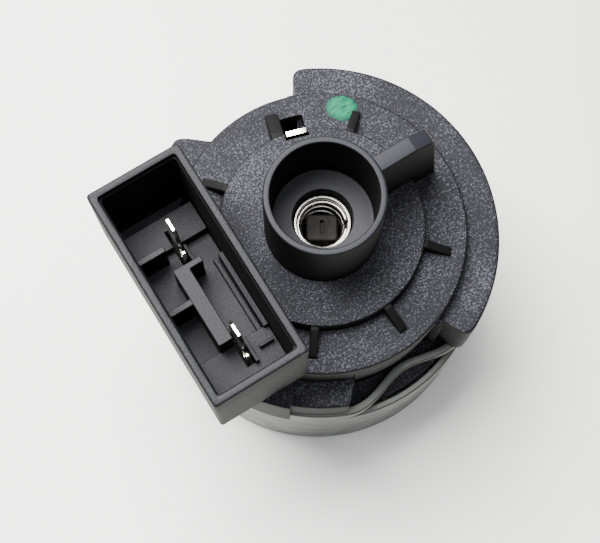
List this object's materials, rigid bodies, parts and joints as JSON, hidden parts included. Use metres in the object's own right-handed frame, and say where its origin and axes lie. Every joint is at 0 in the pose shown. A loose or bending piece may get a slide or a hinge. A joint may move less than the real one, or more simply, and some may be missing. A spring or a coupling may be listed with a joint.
{
  "type": "diverter valve motor head",
  "caption": "Round motor head of a heating diverter valve: steel can, black stepped end cover with valve collar and plug socket, and a spring-returned push rod driven by a screw",
  "frame": {"origin": "centre of the flat underside of the steel can, on the can's axis", "axes": "+Z along the push rod towards the valve collar, +X towards the collar's support arm, -X towards the plug socket, whose long side runs along Y"},
  "size_m": [0.0469, 0.045, 0.0488],
  "materials": {
    "zinc_steel": "zinc-plated deep-drawn sheet",
    "black_nylon": "glass-filled nylon, spark-eroded texture",
    "tin_plate": "tin-plated brass and steel strip",
    "pole_iron": "electrogalvanised soft iron",
    "copper_coil": "enamelled copper wire",
    "white_acetal": "natural acetal",
    "ferrite": "sintered ferrite",
    "brass_part": "turned brass",
    "spring_steel": "bright spring steel",
    "brown_plastic": "brown filled plastic",
    "board": "paper-phenolic board",
    "film_box": "resin-dipped film capacitor"
  },
  "bodies": {
    "housing": {"motor_can": "zinc_steel", "end_cover": "black_nylon", "terminal_carrier": "black_nylon", "terminal_blade_a": "tin_plate", "terminal_blade_b": "tin_plate", "cover_latch": "tin_plate", "pole_plate_bottom": "pole_iron", "pole_plate_mid_lower": "pole_iron", "pole_plate_mid_upper": "pole_iron", "pole_plate_top": "pole_iron", "bobbin_lower": "white_acetal", "bobbin_upper": "white_acetal", "coil_lower": "copper_coil", "coil_upper": "copper_coil", "coil_lead_1": "copper_coil", "coil_lead_2": "copper_coil", "coil_lead_3": "copper_coil", "coil_lead_4": "copper_coil", "rear_bush": "brass_part", "thrust_washer": "spring_steel", "wave_washer": "spring_steel", "guide_plate": "white_acetal", "front_bush": "spring_steel", "snap_ring": "spring_steel", "return_spring": "spring_steel", "circuit_board": "board", "run_capacitor": "film_box", "bleed_resistor": "white_acetal"},
    "rotor": {"rotor_hub": "white_acetal", "rotor_magnet": "ferrite", "rotor_nut": "brass_part"},
    "spindle": {"push_rod": "brown_plastic", "lead_screw": "spring_steel"}
  },
  "joints": [
    {"name": "rotor_spin", "type": "hinge", "parent": "housing", "child": "rotor", "pos_m": [0, 0, 0.01], "axis": [0, 0, 1], "range_deg": [0, 1260]},
    {"name": "spindle_slide", "type": "slide", "parent": "housing", "child": "spindle", "axis": [0, 0, 1], "range_m": [0, 0.007], "stiffness_N_per_m": 150, "springref_m": -0.002, "deforming": ["return_spring"]}
  ],
  "couplings": [
    {"joint": "rotor_spin", "follows": "spindle_slide", "rad_per_m": 3141.6}
  ]
}
